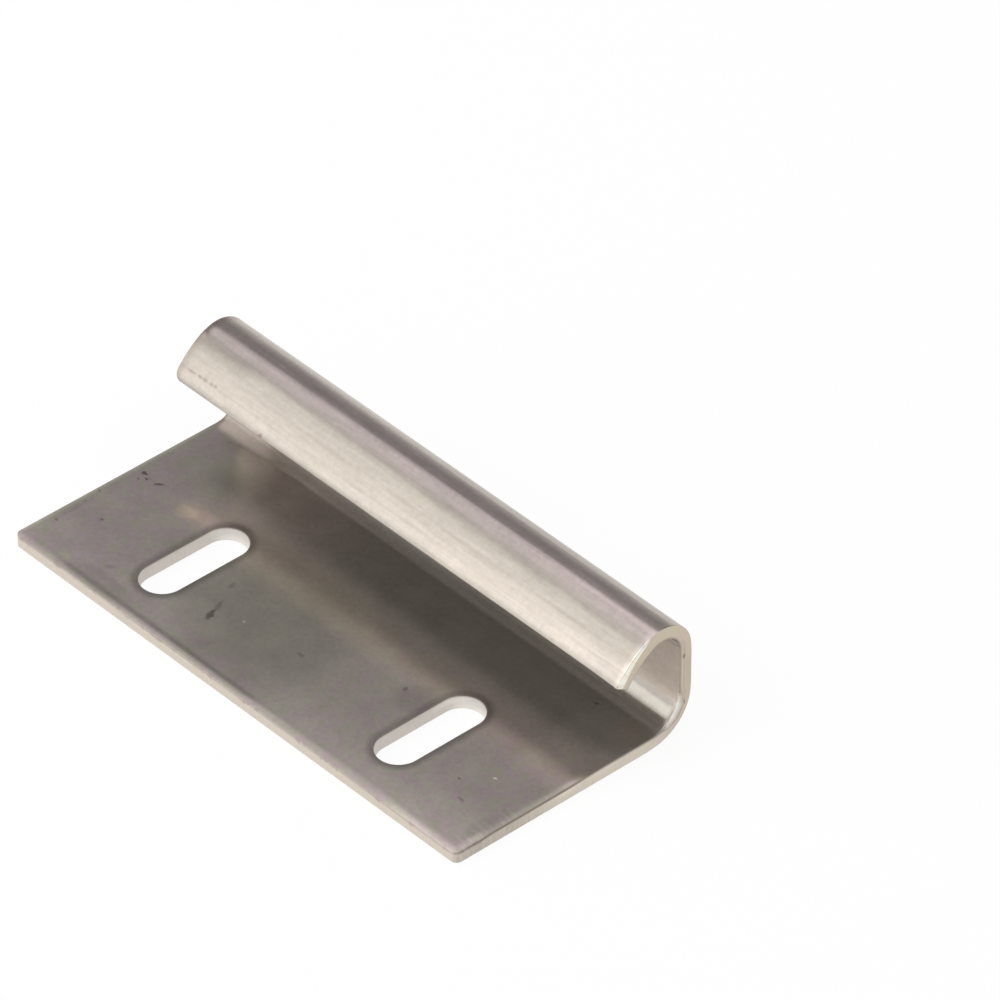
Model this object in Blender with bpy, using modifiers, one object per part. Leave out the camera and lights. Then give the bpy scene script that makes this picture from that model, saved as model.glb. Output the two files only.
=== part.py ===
"""Hook bracket folded from one strip of stainless sheet.

A flat base with two punched slots turns up through a wide bend into a short wall. The wall
rolls over into a hook that comes back above the base and ends in a sloping lip.

X runs along the length, Y from the free edge of the base to the wall, Z up. The origin is
at the middle of the footprint, on the underside of the base.
"""

import math

import bmesh
import bpy
from mathutils import Vector

# Driving dimensions, in metres and degrees
SHEET = 0.0020
LENGTH = 0.0880
BASE_FLAT = 0.0340
BASE_BEND_RADIUS = 0.0050
BASE_BEND_ANGLE = 90.0
WALL_FLAT = 0.0071
CREST_RADIUS = 0.0031
CREST_ANGLE = 118.0
LIP_RADIUS = 0.0120
LIP_ANGLE = 30.5
SLOT_WIDTH = 0.0065
SLOT_LENGTH = 0.0175
SLOT_PITCH = 0.0470
SLOT_SETBACK = 0.0139
CORNER_RADIUS = 0.0010
EDGE_ROUND = 0.00025

# Smoothness of the round stretches
BEND_STEP = 8.0
SLOT_END_STEPS = 12
CORNER_STEPS = 4
EDGE_STEPS = 2

# Values that follow from the driving dimensions
DEPTH = BASE_FLAT + BASE_BEND_RADIUS + SHEET
FREE_EDGE_Y = -DEPTH / 2
SLOT_CENTRE_Y = FREE_EDGE_Y + SLOT_SETBACK
SHARP_ANGLE = math.radians(50.0)

STEEL_COLOUR = (0.245, 0.220, 0.195, 1.0)
STEEL_ROUGHNESS = 0.34


def clear_scene():
    """Empty the scene before the part is built."""
    for thing in list(bpy.data.objects):
        bpy.data.objects.remove(thing, do_unlink=True)


def new_collection(name):
    """A collection linked to the scene."""
    collection = bpy.data.collections.new(name)
    bpy.context.scene.collection.children.link(collection)
    return collection


def new_object(name, mesh, collection):
    """An object that shows a mesh, linked to a collection."""
    thing = bpy.data.objects.new(name, mesh)
    collection.objects.link(thing)
    return thing


def steel_material():
    """Mill-finished stainless sheet."""
    material = bpy.data.materials.new("stainless_sheet")
    material.use_nodes = True
    shader = material.node_tree.nodes["Principled BSDF"]
    shader.inputs["Base Color"].default_value = STEEL_COLOUR
    shader.inputs["Metallic"].default_value = 1.0
    shader.inputs["Roughness"].default_value = STEEL_ROUGHNESS
    return material


def bend(point, heading, inner_radius, angle):
    """Points of the sheet's middle line round a bend, and the heading it leaves with.

    The middle line turns left by angle on a circle half a sheet outside the inner radius.
    """
    radius = inner_radius + SHEET / 2
    centre = point + radius * Vector((-math.sin(heading), math.cos(heading)))
    steps = max(2, math.ceil(angle / BEND_STEP))
    turn = math.radians(angle)
    points = []
    for step in range(1, steps + 1):
        now = heading + turn * step / steps
        points.append(centre + radius * Vector((math.sin(now), -math.cos(now))))
    return points, heading + turn


def section():
    """The middle line of the folded sheet in Y and Z, from the free edge to the lip's tip."""
    line = [Vector((FREE_EDGE_Y, SHEET / 2))]
    line.append(line[-1] + Vector((BASE_FLAT, 0.0)))
    points, heading = bend(line[-1], 0.0, BASE_BEND_RADIUS, BASE_BEND_ANGLE)
    line += points
    line.append(line[-1] + WALL_FLAT * Vector((math.cos(heading), math.sin(heading))))
    points, heading = bend(line[-1], heading, CREST_RADIUS, CREST_ANGLE)
    line += points
    points, heading = bend(line[-1], heading, LIP_RADIUS, LIP_ANGLE)
    line += points
    return line


def folded_surface():
    """The sheet's middle surface: the section swept along X, with its four corners marked."""
    mesh = bpy.data.meshes.new("hook_bracket")
    shape = bmesh.new()
    row = [shape.verts.new((-LENGTH / 2, y, z)) for y, z in section()]
    edges = [shape.edges.new(pair) for pair in zip(row, row[1:])]
    swept = bmesh.ops.extrude_edge_only(shape, edges=edges)["geom"]
    moved = [item for item in swept if isinstance(item, bmesh.types.BMVert)]
    bmesh.ops.translate(shape, verts=moved, vec=(LENGTH, 0.0, 0.0))
    bmesh.ops.recalc_face_normals(shape, faces=shape.faces)
    corner_layer = shape.verts.layers.deform.verify()
    for vertex in shape.verts:
        if len(vertex.link_edges) == 2:
            vertex[corner_layer][0] = 1.0
    shape.to_mesh(mesh)
    shape.free()
    return mesh


def slot_cutter(name, x, collection):
    """A stadium-shaped punch at x, longer than the sheet is thick."""
    mesh = bpy.data.meshes.new(name)
    shape = bmesh.new()
    radius = SLOT_WIDTH / 2
    reach = SLOT_LENGTH / 2 - radius
    outline = []
    for side in (1, -1):
        for step in range(SLOT_END_STEPS + 1):
            angle = math.pi * step / SLOT_END_STEPS
            across = side * radius * math.cos(angle)
            along = side * (reach + radius * math.sin(angle))
            outline.append(shape.verts.new((across, along, -SHEET)))
    punch = bmesh.ops.extrude_face_region(shape, geom=[shape.faces.new(outline)])["geom"]
    top = [item for item in punch if isinstance(item, bmesh.types.BMVert)]
    bmesh.ops.translate(shape, verts=top, vec=(0.0, 0.0, 3 * SHEET))
    bmesh.ops.recalc_face_normals(shape, faces=shape.faces)
    shape.to_mesh(mesh)
    shape.free()
    cutter = new_object(name, mesh, collection)
    cutter.location = (x, SLOT_CENTRE_Y, 0.0)
    cutter.hide_render = True
    cutter.display_type = "WIRE"
    return cutter


def round_corners(bracket):
    """Round the four corners of the sheet in its own plane."""
    corners = bracket.modifiers.new("corners", "BEVEL")
    corners.affect = "VERTICES"
    corners.limit_method = "VGROUP"
    corners.vertex_group = "corners"
    corners.width = CORNER_RADIUS
    corners.segments = CORNER_STEPS


def thicken(bracket):
    """Give the sheet its thickness, half to each side of the middle surface."""
    wall = bracket.modifiers.new("sheet", "SOLIDIFY")
    wall.thickness = SHEET
    wall.offset = 0.0
    wall.use_even_offset = True


def cut(bracket, cutter):
    """Punch one slot through the base."""
    punch = bracket.modifiers.new(cutter.name, "BOOLEAN")
    punch.operation = "DIFFERENCE"
    punch.solver = "EXACT"
    punch.object = cutter


def round_edges(bracket):
    """Round the cut edges of the sheet and the rims of its slots."""
    rims = bracket.modifiers.new("edges", "BEVEL")
    rims.limit_method = "ANGLE"
    rims.angle_limit = SHARP_ANGLE
    rims.width = EDGE_ROUND
    rims.segments = EDGE_STEPS
    rims.harden_normals = True


def build_bracket():
    """The finished bracket, one closed solid."""
    parts = new_collection("hook_bracket")
    cutters = new_collection("cutters")
    mesh = folded_surface()
    mesh.materials.append(steel_material())
    bracket = new_object("hook_bracket", mesh, parts)
    bracket.vertex_groups.new(name="corners")
    round_corners(bracket)
    thicken(bracket)
    for name, x in (("slot_left", -SLOT_PITCH / 2), ("slot_right", SLOT_PITCH / 2)):
        cut(bracket, slot_cutter(name, x, cutters))
    round_edges(bracket)
    mesh.shade_smooth()
    mesh.set_sharp_from_angle(angle=SHARP_ANGLE)
    return bracket


clear_scene()
build_bracket()
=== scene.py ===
"""Looks of the folded stainless hook bracket.

The sheet is one piece. It is laid out flat as a blank, with rounded corners, rolled cut edges
and two punched slots, and every point of the blank is then folded round the bends. Its finish
is a procedural mill-finished stainless steel. Lengths are metres, in the frame's own axes.
"""

import math

import bmesh
import bpy
import numpy as np
from bpy.props import FloatProperty, FloatVectorProperty, IntProperty, PointerProperty
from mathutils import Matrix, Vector


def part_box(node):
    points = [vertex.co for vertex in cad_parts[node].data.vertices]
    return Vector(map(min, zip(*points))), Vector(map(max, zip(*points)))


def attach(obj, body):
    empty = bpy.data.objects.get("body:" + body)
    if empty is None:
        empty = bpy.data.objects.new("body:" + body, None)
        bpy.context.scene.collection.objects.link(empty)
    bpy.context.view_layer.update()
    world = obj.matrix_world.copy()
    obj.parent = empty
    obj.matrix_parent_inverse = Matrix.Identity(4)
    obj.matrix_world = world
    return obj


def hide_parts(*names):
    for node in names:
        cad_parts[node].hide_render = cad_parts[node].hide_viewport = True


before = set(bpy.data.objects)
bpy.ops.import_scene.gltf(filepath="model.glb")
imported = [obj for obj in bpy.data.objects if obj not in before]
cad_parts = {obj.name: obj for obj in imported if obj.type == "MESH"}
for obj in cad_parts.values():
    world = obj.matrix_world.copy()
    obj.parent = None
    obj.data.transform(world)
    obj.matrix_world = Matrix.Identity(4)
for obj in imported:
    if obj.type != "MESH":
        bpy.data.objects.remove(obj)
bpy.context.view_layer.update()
NODE = "hook_bracket"
SHEET_LOW, SHEET_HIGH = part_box(NODE)

bl_info = {
    "name": "Hook Bracket",
    "version": (1, 0, 0),
    "blender": (4, 5, 0),
    "location": "3D View > Sidebar > Hook Bracket",
    "description": "Folds a stainless hook bracket from a punched blank and lights it",
    "category": "Add Mesh",
}

MM = 0.001
PER_METRE = 1000.0


def length(name, description, default):
    """A size in metres that a user can change."""
    return FloatProperty(name=name, description=description, default=default, unit="LENGTH", precision=5)


def bend_angle(name, description, degrees):
    """An angle that a user can change."""
    return FloatProperty(
        name=name, description=description, default=math.radians(degrees), subtype="ANGLE"
    )


def colour(name, description, default):
    """A colour that a user can change."""
    return FloatVectorProperty(
        name=name, description=description, default=default, subtype="COLOR", min=0.0, max=1.0
    )


def amount(name, description, default):
    """A plain number that a user can change."""
    return FloatProperty(name=name, description=description, default=default)


class SheetSizes(bpy.types.PropertyGroup):
    """Sizes of the blank and of its folds."""

    sheet: length("Sheet", "Thickness of the sheet", 2.0 * MM)
    base_flat: length("Base flat", "Flat of the base, from its free edge to the bend", 34.0 * MM)
    base_radius: length("Base bend", "Inner radius of the bend from base to wall", 5.0 * MM)
    base_angle: bend_angle("Base angle", "Turn of the bend from base to wall", 90.0)
    wall_flat: length("Wall flat", "Straight height of the wall", 7.1 * MM)
    crest_radius: length("Crest bend", "Inner radius of the bend over the crest", 3.1 * MM)
    crest_angle: bend_angle("Crest angle", "Turn of the bend over the crest", 118.0)
    lip_radius: length("Lip bend", "Inner radius of the lip's slow curve", 12.0 * MM)
    lip_angle: bend_angle("Lip angle", "Turn of the lip's slow curve", 30.5)
    corner: length("Corner", "Radius of the four corners in the plane of the sheet", 1.0 * MM)
    lip_corner: length("Lip corner", "Radius of the lip's left corner", 1.35 * MM)
    sharp_corner: length("Sharp corner", "Radius of the lip's right corner", 0.4 * MM)
    slot_width: length("Slot width", "Width of each slot", 6.5 * MM)
    slot_length: length("Slot length", "Length of each slot over its round ends", 17.5 * MM)
    slot_pitch: length("Slot pitch", "Distance between the two slots", 47.0 * MM)
    slot_setback: length("Slot setback", "Middle of the slots from the free edge", 13.9 * MM)


class EdgeSizes(bpy.types.PropertyGroup):
    """Rolled shoulders of the cut edges and of the punched rims."""

    reach: length("Reach", "How far a rolled edge reaches into the face", 1.6 * MM)
    front_drop: length("Front drop", "Drop of the roll along the free edge", 0.30 * MM)
    right_drop: length("Right drop", "Drop of the roll at the right edge's free corner", 0.42 * MM)
    left_drop: length("Left drop", "Drop of the roll along the left edge", 0.10 * MM)
    tip_drop: length("Tip drop", "Drop of the roll along the lip's tip", 0.06 * MM)
    lip_drop: length("Lip drop", "Drop of the outside roll at the lip's ends", 0.11 * MM)
    bevel: length("Bevel", "Drop of the steep bevel at the lip's right end", 0.86 * MM)
    bevel_reach: length("Bevel reach", "How far the steep bevel reaches into the face", 0.32 * MM)
    shoulder: length("Shoulder", "Drop of the steep shoulder at the base bend's right end", 0.9 * MM)
    growth: length("Tip growth", "How much longer the lip is at its right end", 0.12 * MM)
    rim_reach: length("Rim reach", "How far a slot's rolled rim reaches into the face", 1.25 * MM)
    rim_drop: length("Rim drop", "Drop of the slot rims' roll", 0.045 * MM)
    fillet: length("Fillet", "Radius where the roll turns into the cut", 0.10 * MM)
    rim_fillet: length("Rim fillet", "Radius where a slot's rim turns into its cut", 0.05 * MM)
    back_fillet: length("Burr side fillet", "Radius of the sharper edge on the burr side", 0.05 * MM)
    taper: length("Slot taper", "How much further in each slot's cut wall stands at its foot", 0.16 * MM)
    neck: length("Neck", "Pull-in of the outer fibres at the ends of a bend", 0.10 * MM)
    notch: length("Notch", "Pull-in of the blank at the base bend's left end", 0.43 * MM)
    steps: IntProperty(name="Steps", description="Faces round one fillet", default=4, min=2)


class SteelFinish(bpy.types.PropertyGroup):
    """Colours and gloss of the stainless sheet."""

    # Painted shade colour: neutral tint of the sheet where the hook's shade falls
    steel: colour("Steel", "Clean sheet under the hook", (0.57, 0.545, 0.515))
    # Painted highlight: bright foot of the wall's inner side, seen through the mouth
    hollow_highlight: colour("Hollow", "Bright foot of the wall's inner side", (0.86, 0.79, 0.74))
    # Painted shade: darker inner side of the base bend, seen through the mouth
    mouth: colour("Mouth", "Inner side of the bend from base to wall", (0.475, 0.445, 0.395))
    # Painted light: lighter inner side of the wall near its right end, seen through the mouth
    wall: colour("Wall", "Inner side of the wall near its right end", (0.64, 0.57, 0.505))
    plate: colour("Plate", "Mill finish of the base", (0.575, 0.515, 0.475))
    lilac: colour("Lilac", "Cool patches of the mill finish", (0.58, 0.485, 0.485))
    olive: colour("Olive", "Warm green patches of the mill finish", (0.55, 0.515, 0.44))
    tan: colour("Tan", "Warm patches near the bend's left end", (0.58, 0.46, 0.38))
    cream: colour("Cream", "Drawn outside of the hook", (0.585, 0.53, 0.465))
    brown: colour("Brown", "Thin lines and stains", (0.34, 0.27, 0.215))
    cut: colour("Cut edge", "Sheared edge", (0.76, 0.69, 0.60))
    end: colour("Hook end", "Tan cut at the right end of wall and hook", (0.69, 0.60, 0.475))
    # Painted highlight on the base bend's inner right end and on its shoulder
    glint: colour("Glint", "Bright corner where the bend meets its right end", (1.0, 0.945, 0.85))
    blush: colour("Blush", "Pink tarnish on the cut edges", (0.76, 0.60, 0.53))
    # Whitish punched walls, with more of this tint at the slots' ends as a painted highlight
    cap: colour("Slot cap", "Whitish ends of the punched slots", (0.80, 0.775, 0.735))
    # Painted highlight on the lip's right bevel, over its own burnished tone
    bright: colour("Bright edge", "Burnished bevel of the lip's right end", (0.86, 0.82, 0.70))
    roughness: amount("Roughness", "Roughness of the faces", 0.20)
    haze: amount("Haze", "Share of the wide gloss on the faces", 0.35)
    haze_roughness: amount("Haze roughness", "Roughness of the wide gloss", 0.50)
    cut_roughness: amount("Cut roughness", "Roughness of the sheared edge", 0.42)


class StageSettings(bpy.types.PropertyGroup):
    """Floor, light and camera."""

    floor_size: length("Floor", "Width of the floor", 40.0)
    focal_pixels: amount("Focal length", "Focal length in pixels of the thousand-pixel frame", 10185.0)
    distance: length("Distance", "Camera to the point it looks at", 1.33739)
    azimuth: bend_angle("Azimuth", "Camera's turn round the bracket from the front", 47.9496)
    elevation: bend_angle("Elevation", "Camera's height above the horizon", 38.7374)


CAMERA_WHITE = 0.85
GLOSS_WHITE = 0.5
FLOOR_GLOW = 1.06
CAMERA_AIM = Vector((7.047, 20.427, 15.949)) * MM
SENSOR = 36.0
FRAME_PIXELS = 1000.0
# Soft boxes: name, direction from the bracket, distance, width, height and radiance
SOFT_BOXES = (
    ("side_box", (-0.60, -0.62, 0.50), 0.9, 0.9, 0.62, 1.0),
    ("front_box", (-0.22, -0.87, 0.38), 0.9, 0.75, 0.5, 0.50),
)

# Faces along the length: at each end, over a slot, and between the slots
END_COLUMNS, SLOT_COLUMNS, MIDDLE_COLUMNS = 18, 14, 40
# Faces along the section: before, over and behind the slots, then bend, wall, crest and lip
FRONT_ROWS, SLOT_ROWS, HOOK_ROWS = 2, 40, (10, 26, 8, 30, 14)
# Room round a slot inside its cell, along the length and along the section
CELL_ROOM_X, CELL_ROOM_S = 2.8 * MM, 2.5 * MM
# Flat strip past the roll, and how far from a corner one roll blends into the next
FLAT_STRIP, ROLL_BLEND = 0.15 * MM, 1.2 * MM
# Points closer than this are one point
MERGE = 0.002 * MM
# How sharply the rolls of the lip and of a slot's rim fall
LIP_ROLL_POWER, RIM_ROLL_POWER = 3.0, 2.0

# Roll along the free edge: x in mm, share of its drop, and how sharply it falls
FRONT_ROLL = (
    (-44.0, 0.95, 2.7),
    (-37.0, 0.90, 2.8),
    (-34.0, 0.62, 2.7),
    (-24.0, 0.62, 2.9),
    (-20.0, 0.95, 3.8),
    (2.0, 0.95, 3.8),
    (8.0, 1.05, 2.6),
    (26.0, 1.3, 2.2),
    (34.0, 1.7, 2.8),
    (44.0, 1.7, 2.8),
)
# Roll along the right edge: millimetres along the sheet, and share of its drop
RIGHT_ROLL = ((4.0, 1.0), (6.0, 0.55), (20.0, 0.5), (22.5, 0.22), (34.0, 0.30), (37.0, 0.6),
              (41.0, 0.5), (44.0, 0.2), (62.0, 0.12))
# The notched stretch of the base bend at its left end: from, deepest, to, in mm along the sheet
NOTCH = (34.0, 37.5, 43.0)
# Bevel of the lip's right end: millimetres along the sheet, and share of its drop
BEVEL = ((58.5, 0.0), (60.0, 0.3), (62.0, 0.6), (65.0, 1.0), (67.0, 1.0))
# Shoulder of the base bend's right end: millimetres along the sheet, and share of its drop
SHOULDER = ((36.0, 0.0), (37.6, 0.6), (39.2, 1.0), (40.8, 0.9), (42.2, 0.4), (43.6, 0.0))
# Where the lip's right end grows longer: from x, and from how far before the tip, in mm
GROWTH_X, GROWTH_REACH = 36.0, 3.0
# World light by the height of its direction, from the horizon to straight up
STUDIO_LIGHT = ((0.0, 0.95), (0.06, 0.80), (0.14, 0.60), (0.30, 0.42), (0.45, 0.30), (0.70, 0.26),
                (0.748, 0.30), (0.772, 0.86), (0.805, 0.98), (1.0, 0.85))
# Painted reflections, as light and dark bands along the outside of the hook: place along the sheet and
# half width in mm, the x between which they rise, and how much lighter they are
HOOK_REFLECTION_BANDS = (
    (59.8, 2.2, 20.0, 32.0, 0.14),
    (57.5, 1.2, 20.0, 32.0, 0.20),
    (60.0, 1.7, -30.0, -36.0, -0.24),
    (52.4, 0.9, -60.0, -50.0, 0.14),
    (54.5, 0.7, -5.0, -15.0, 0.15),
)
# Dark spots and scratches on the base, wider darker patches, and one row of painted shade under the hook:
# x and place along the sheet, length and width, all in mm, then turn in degrees and depth. The light ones
# below are the same
DARK_MARKS = (
    (-42.03, 20.98, 0.9, 0.7, 0.0, 0.60),
    (-40.97, 20.36, 0.6, 0.45, 0.0, 0.50),
    (-38.90, 20.86, 1.5, 0.45, 47.0, 0.50),
    (-41.65, 19.60, 0.45, 0.4, 0.0, 0.35),
    (-40.58, 20.80, 0.4, 0.35, 0.0, 0.35),
    (-38.33, 10.38, 0.6, 0.5, 0.0, 0.45),
    (-42.47, 5.95, 0.6, 0.4, 0.0, 0.35),
    (-43.30, 14.25, 0.5, 0.4, 0.0, 0.35),
    (34.05, 33.58, 0.7, 0.6, 0.0, 0.60),
    (37.05, 35.52, 0.6, 0.6, 0.0, 0.45),
    (-13.50, 8.10, 2.4, 0.9, 109.0, 0.42),
    (-14.10, 10.00, 3.0, 0.8, 109.0, 0.20),
    (-29.90, 4.70, 2.0, 0.8, 40.0, 0.14),
    (-16.20, 14.30, 1.6, 0.7, 100.0, 0.14),
    (-7.00, 11.50, 28.0, 23.0, 0.0, 0.17),
    (-18.50, 22.00, 14.0, 12.0, 0.0, 0.07),
    # Painted shade: deepens the hook's shade on the base
    (-25.50, 31.50, 16.0, 8.0, 0.0, 0.10),
    (-28.50, 1.90, 13.0, 3.6, 0.0, 0.13),
    (-39.50, 2.60, 8.0, 4.0, 0.0, 0.08),
    (1.00, 2.50, 9.0, 4.0, 0.0, 0.08),
    (17.50, 16.50, 6.0, 6.0, 0.0, 0.12),
    (42.50, 6.00, 3.0, 6.0, 0.0, 0.10),
    (33.30, 10.20, 0.5, 0.4, 0.0, 0.40),
    (36.50, 7.60, 1.3, 0.5, 0.0, 0.26),
    (15.10, 17.00, 0.5, 1.1, 0.0, 0.30),
    (0.70, 11.50, 1.4, 0.7, 0.0, 0.18),
)
PALE_MARKS = (
    (-9.38, 10.39, 0.5, 0.45, 0.0, 0.7),
    (36.38, 13.77, 0.6, 0.45, 0.0, 0.7),
    (-32.00, 19.90, 3.6, 2.8, 16.0, 0.17),
    (-29.40, 20.90, 6.0, 2.8, 10.0, 0.12),
    (-15.00, 5.50, 12.0, 9.0, 0.0, 0.12),
    (-2.00, 22.00, 30.0, 3.0, 0.0, 0.07),
    (39.00, 27.00, 10.0, 26.0, 0.0, 0.10),
)
# Dark dents on the right end face: place along the sheet, distance down the cut, then the same
END_MARKS = ((49.2, 0.55, 0.9, 0.6, 0.0, 0.7), (41.5, 0.50, 1.0, 0.6, -30.0, 0.7))
# Marks on the outside of the lip, as on the base
LIP_MARKS = (
    (-41.6, 63.95, 1.7, 0.35, 0.0, 0.45),
    (-39.9, 63.90, 1.0, 0.40, 0.0, 0.50),
    (-38.9, 63.87, 1.0, 0.50, 0.0, 0.50),
    (-37.6, 63.85, 0.7, 0.45, 0.0, 0.45),
    (-36.8, 63.80, 0.7, 0.45, 0.0, 0.45),
    (-26.45, 65.75, 0.8, 0.8, 0.0, 0.9),
    (0.0, 62.1, 130.0, 0.6, 0.0, 0.10),
    (0.0, 64.0, 130.0, 0.5, 0.0, 0.13),
)


def stations(marks, gaps):
    """Evenly spaced stations between marks: gaps[k] of them from mark k to mark k + 1."""
    runs = [
        np.linspace(low, high, count, endpoint=False)
        for low, high, count in zip(marks, marks[1:], gaps)
    ]
    return np.concatenate(runs + [np.array(marks[-1:])])


class Fold:
    """The developed line of the sheet and its folded place.

    The heading at a distance along the sheet is the running sum of the curvature, and the place
    is the running sum of the heading's direction. A point off the middle line stands on the
    normal there.
    """

    SAMPLE = 0.02 * MM
    EASE = 0.8 * MM
    SPARE = 1.0 * MM

    def __init__(self, sizes):
        half = sizes.sheet / 2
        runs = [
            (sizes.base_flat, 0.0),
            ((sizes.base_radius + half) * sizes.base_angle, 1 / (sizes.base_radius + half)),
            (sizes.wall_flat, 0.0),
            ((sizes.crest_radius + half) * sizes.crest_angle, 1 / (sizes.crest_radius + half)),
            ((sizes.lip_radius + half) * sizes.lip_angle, 1 / (sizes.lip_radius + half)),
        ]
        self.marks = np.concatenate([[0.0], np.cumsum([run for run, _ in runs])])
        self.total = self.marks[-1]
        count = int(round((self.total + self.SPARE) / self.SAMPLE)) + 1
        self.line = np.linspace(0.0, self.total + self.SPARE, count)
        bends = np.array([curvature for _, curvature in runs])
        which = np.clip(np.searchsorted(self.marks, self.line, side="right") - 1, 0, len(runs) - 1)
        window = int(self.EASE / self.SAMPLE) | 1
        padded = np.pad(bends[which], window // 2, mode="edge")
        self.curvature = np.convolve(padded, np.ones(window) / window, mode="valid")
        step = self.line[1]
        self.heading = self.running_sum(self.curvature, step)
        self.y = self.running_sum(np.cos(self.heading), step) + SHEET_LOW.y
        self.z = self.running_sum(np.sin(self.heading), step) + half

    @staticmethod
    def running_sum(values, step):
        """Integral from the start, by trapezia."""
        steps = (values[1:] + values[:-1]) * step / 2
        return np.concatenate([[0.0], np.cumsum(steps)])

    def place(self, x, s, w, neck, half_length, sheet):
        """Folded place of blank points: x along the length, s along the section, w off the middle.

        Near the ends of a bend the outer fibres pull in by neck times the bend's share of
        strain, fading inwards over one sheet thickness.
        """
        heading = np.interp(s, self.line, self.heading)
        curvature = np.interp(s, self.line, self.curvature)
        y = np.interp(s, self.line, self.y) - np.sin(heading) * w
        z = np.interp(s, self.line, self.z) + np.cos(heading) * w
        fade = np.exp((np.abs(x) - half_length) / sheet)
        strain = np.clip(-w * curvature, 0.0, None)
        x = x - np.sign(x) * neck * strain / strain_scale(self.curvature, sheet) * fade
        return np.stack([x, y, z], axis=-1)

    @staticmethod
    def notched(places, s, depth, half_length, sheet):
        """Pulls in the base bend at its left end, fading along the sheet and in from the end."""
        start, deep, end = (mark * MM for mark in NOTCH)
        pull = depth * rise(s, start, deep) * rise(-s, -end, -deep)
        pull = pull * np.exp(-(half_length + places[:, 0]) / sheet)
        return places + pull[:, None] * np.array([1.0, 0.0, 0.0])


def strain_scale(curvature, sheet):
    """The largest fibre strain of the folded sheet."""
    return float(np.max(curvature)) * sheet / 2


class Blank:
    """Grids of points on the flat blank, gathered into one mesh."""

    def __init__(self):
        self.points = []
        self.faces = []
        self.count = 0

    def add(self, x, s, w, run, keep=None, closed=False, flip=False):
        """One grid of quads. closed joins the last row to the first, keep leaves quads out."""
        x, s, w, run = np.broadcast_arrays(x, s, w, run)
        index = np.arange(x.size).reshape(x.shape) + self.count
        if closed:
            index = np.vstack([index, index[:1]])
        quads = np.stack([index[:-1, :-1], index[1:, :-1], index[1:, 1:], index[:-1, 1:]], axis=-1)
        quads = quads.reshape(-1, 4) if keep is None else quads[keep]
        self.faces.append(quads[:, ::-1] if flip else quads)
        self.points.append(np.stack([x.ravel(), s.ravel(), w.ravel(), run.ravel()], axis=1))
        self.count += x.size

    def gathered(self):
        """All points and faces, without the points that no face uses."""
        points = np.concatenate(self.points)
        faces = np.concatenate(self.faces)
        used, where = np.unique(faces, return_inverse=True)
        return points[used], where.reshape(faces.shape)


class CutSection:
    """Section over a cut edge, from the face, over the roll, down the cut and back inwards.

    inset is the distance in from the cut, and run the distance along the section: negative on
    the face, 0 at the top of the cut and the sheet's thickness at its foot. A roll drops by its
    depth times a power of the share of its reach. edge is the height without any roll: the
    sheet's half thickness less a small round fillet at each end of the cut.
    """

    def __init__(self, sheet, margin, reach, fillet, edges, taper=0.0):
        half = sheet / 2
        back_fillet = edges.back_fillet
        turn = np.linspace(0.0, math.pi / 2, edges.steps + 1)
        near_cut = edges.bevel_reach * np.linspace(1.0, 0.1, 11)
        on_face = np.concatenate([[margin], np.linspace(reach, edges.bevel_reach * 1.1, 9), near_cut])
        over = fillet * (1 - np.sin(turn))
        under = back_fillet * (1 - np.sin(turn))
        top_inset = np.concatenate([on_face[on_face > fillet * 1.5], over])
        back_inset = np.concatenate([on_face[on_face > back_fillet * 1.5], under])[::-1]
        down = np.array([0.02, 0.2, 0.4, 0.6, 0.8, 0.98])
        top_edge = half - self.round_over(top_inset, fillet)
        back_edge = self.round_over(back_inset, back_fillet) - half
        wall_edge = top_edge[-1] + (back_edge[0] - top_edge[-1]) * down
        back_taper = taper * np.clip(1 - back_inset / margin, 0.0, 1.0)
        self.inset = np.concatenate([top_inset, -taper * down, back_inset - back_taper])
        self.edge = np.concatenate([top_edge, wall_edge, back_edge])
        self.run = np.concatenate([-top_inset, sheet * down, sheet + back_inset])
        none_top, none_back = np.zeros_like(top_inset), np.zeros_like(back_inset)
        face_share = np.clip(1 - top_inset / reach, 0.0, 1.0)
        back_share = np.clip(1 - back_inset / reach, 0.0, 1.0)
        self.face_top = np.concatenate([face_share, 0 * down, none_back])
        self.wall_top = np.concatenate([none_top, 1 - down, none_back])
        self.face_bottom = np.concatenate([none_top, 0 * down, back_share])
        self.wall_bottom = np.concatenate([none_top, down, none_back])
        self.bevel_share = np.concatenate([none_top, down, none_back + 1.0])
        slope = edges.bevel / edges.bevel_reach
        self.bevel_rise = np.concatenate([none_top, 0 * down, back_inset]) * slope
        self.shoulder_share = np.concatenate([none_top + 1.0, 1 - down, none_back])
        self.shoulder_rise = np.concatenate([top_inset, 0 * down, none_back]) * slope

    @staticmethod
    def round_over(inset, fillet):
        """Drop of a quarter circle at an inset from the cut."""
        return fillet * (1 - np.sqrt(1 - np.clip(1 - inset / fillet, 0.0, 1.0) ** 2))

    def heights(self, top_drop, top_power, bottom_drop, bevel_drop, shoulder_drop):
        """Height off the middle line for each path point's two rolls and two steep bevels."""
        top_drop, top_power = top_drop[:, None], top_power[:, None]
        top = self.face_top**top_power + self.wall_top
        bottom = self.face_bottom**LIP_ROLL_POWER + self.wall_bottom
        bevel = np.clip(bevel_drop[:, None] - self.bevel_rise, 0.0, None) * self.bevel_share
        shoulder = np.clip(shoulder_drop[:, None] - self.shoulder_rise, 0.0, None) * self.shoulder_share
        return self.edge - top_drop * top + bottom_drop[:, None] * bottom + bevel - shoulder


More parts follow.
